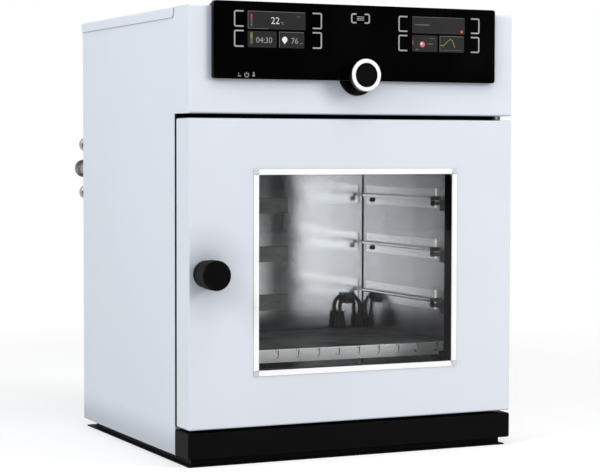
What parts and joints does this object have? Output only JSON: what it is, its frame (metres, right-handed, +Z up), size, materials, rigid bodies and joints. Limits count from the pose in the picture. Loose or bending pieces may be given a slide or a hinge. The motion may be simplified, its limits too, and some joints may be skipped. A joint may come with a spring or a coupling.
{
  "type": "vacuum oven",
  "caption": "Benchtop vacuum drying oven with a hinged glass door and knob latch, a stainless chamber with shelf rails and a heated shelf, rear ports, and a control panel with a press dial.",
  "frame": {"origin": "centre of the whole outline seen from above, from the knob's front to the vacuum port's end, on the surface that the base frame stands on", "axes": "+X to the right seen from the front, +Y to the back, +Z up"},
  "size_m": [0.5528, 0.608, 0.687],
  "materials": {
    "cabinet_paint": "satin pale grey powder coat",
    "black_paint": "satin black powder coat",
    "stainless": "brushed stainless steel",
    "plated_steel": "zinc plated steel",
    "dark_steel": "dark heat-stained steel",
    "bright_trim": "satin white",
    "black_plastic": "matt black",
    "white_plastic": "satin white",
    "panel_glass": "gloss black",
    "display": "gloss dark screen",
    "glass": "clear float glass",
    "silicone": "matt silicone",
    "wool": "mineral wool",
    "brass": "turned brass",
    "grey_plastic": "satin grey",
    "board_green": "satin green board",
    "spring_steel": "spring steel"
  },
  "bodies": {
    "housing": {"base_frame": "black_paint", "floor_plate": "plated_steel", "front_plinth": "black_paint", "outer_casing": "cabinet_paint", "top_cover": "cabinet_paint", "rear_panel": "plated_steel", "front_frame": "stainless", "cover_screws": "plated_steel", "chamber": "stainless", "chamber_ribs": "stainless", "chamber_supports": "plated_steel", "insulation": "wool", "door_gasket": "silicone", "rails_left": "stainless", "rails_right": "stainless", "rail_stops": "dark_steel", "rail_screws": "dark_steel", "shelf_tray": "stainless", "shelf_heater": "dark_steel", "shelf_plug": "grey_plastic", "shelf_sockets": "grey_plastic", "probe_clip": "dark_steel", "probe_lead": "dark_steel", "probe_sleeves": "black_plastic", "vacuum_port": "stainless", "gas_port": "stainless", "air_port": "stainless", "port_pipes": "stainless", "valves": "brass", "electronics_tray": "plated_steel", "power_supply": "plated_steel", "control_board": "board_green", "mains_inlet": "black_plastic", "cockpit_housing": "black_plastic", "cockpit_glass": "panel_glass", "displays": "display", "encoder_body": "black_plastic", "hinge_brackets": "plated_steel", "hinge_pins": "stainless", "strike_plate": "stainless"},
    "door": {"door_skin": "cabinet_paint", "door_liner": "stainless", "door_insulation": "wool", "pane_frame": "black_paint", "outer_pane": "glass", "inner_pane": "glass", "pane_springs": "spring_steel", "window_trims": "bright_trim", "hinge_bushes": "brass", "latch_bush": "brass"},
    "knob": {"door_knob": "black_plastic", "knob_shaft": "stainless", "latch_bar": "stainless"},
    "rotor": {"encoder_rotor": "brass"},
    "dial": {"dial_body": "black_plastic", "dial_ring": "white_plastic", "dial_cap": "black_plastic", "dial_shaft": "plated_steel"},
    "button": {"power_button": "grey_plastic"}
  },
  "joints": [
    {"name": "door_hinge", "type": "hinge", "parent": "housing", "child": "door", "pos_m": [0.26, -0.2345, 0.2849], "axis": [0, 0, 1], "range_deg": [0, 135]},
    {"name": "knob_turn", "type": "hinge", "parent": "door", "child": "knob", "pos_m": [-0.2475, -0.258, 0.2859], "axis": [0, 1, 0], "range_deg": [0, 90]},
    {"name": "dial_turn", "type": "hinge", "parent": "housing", "child": "rotor", "pos_m": [0, -0.258, 0.5809], "axis": [0, 1, 0], "continuous": true},
    {"name": "dial_press", "type": "slide", "parent": "rotor", "child": "dial", "axis": [0, 1, 0], "range_m": [0, 0.0015], "stiffness_N_per_m": 2000, "springref_m": -0.0005},
    {"name": "button_press", "type": "slide", "parent": "housing", "child": "button", "axis": [0, 1, 0], "range_m": [0, 0.001], "stiffness_N_per_m": 1500, "springref_m": -0.0005}
  ]
}
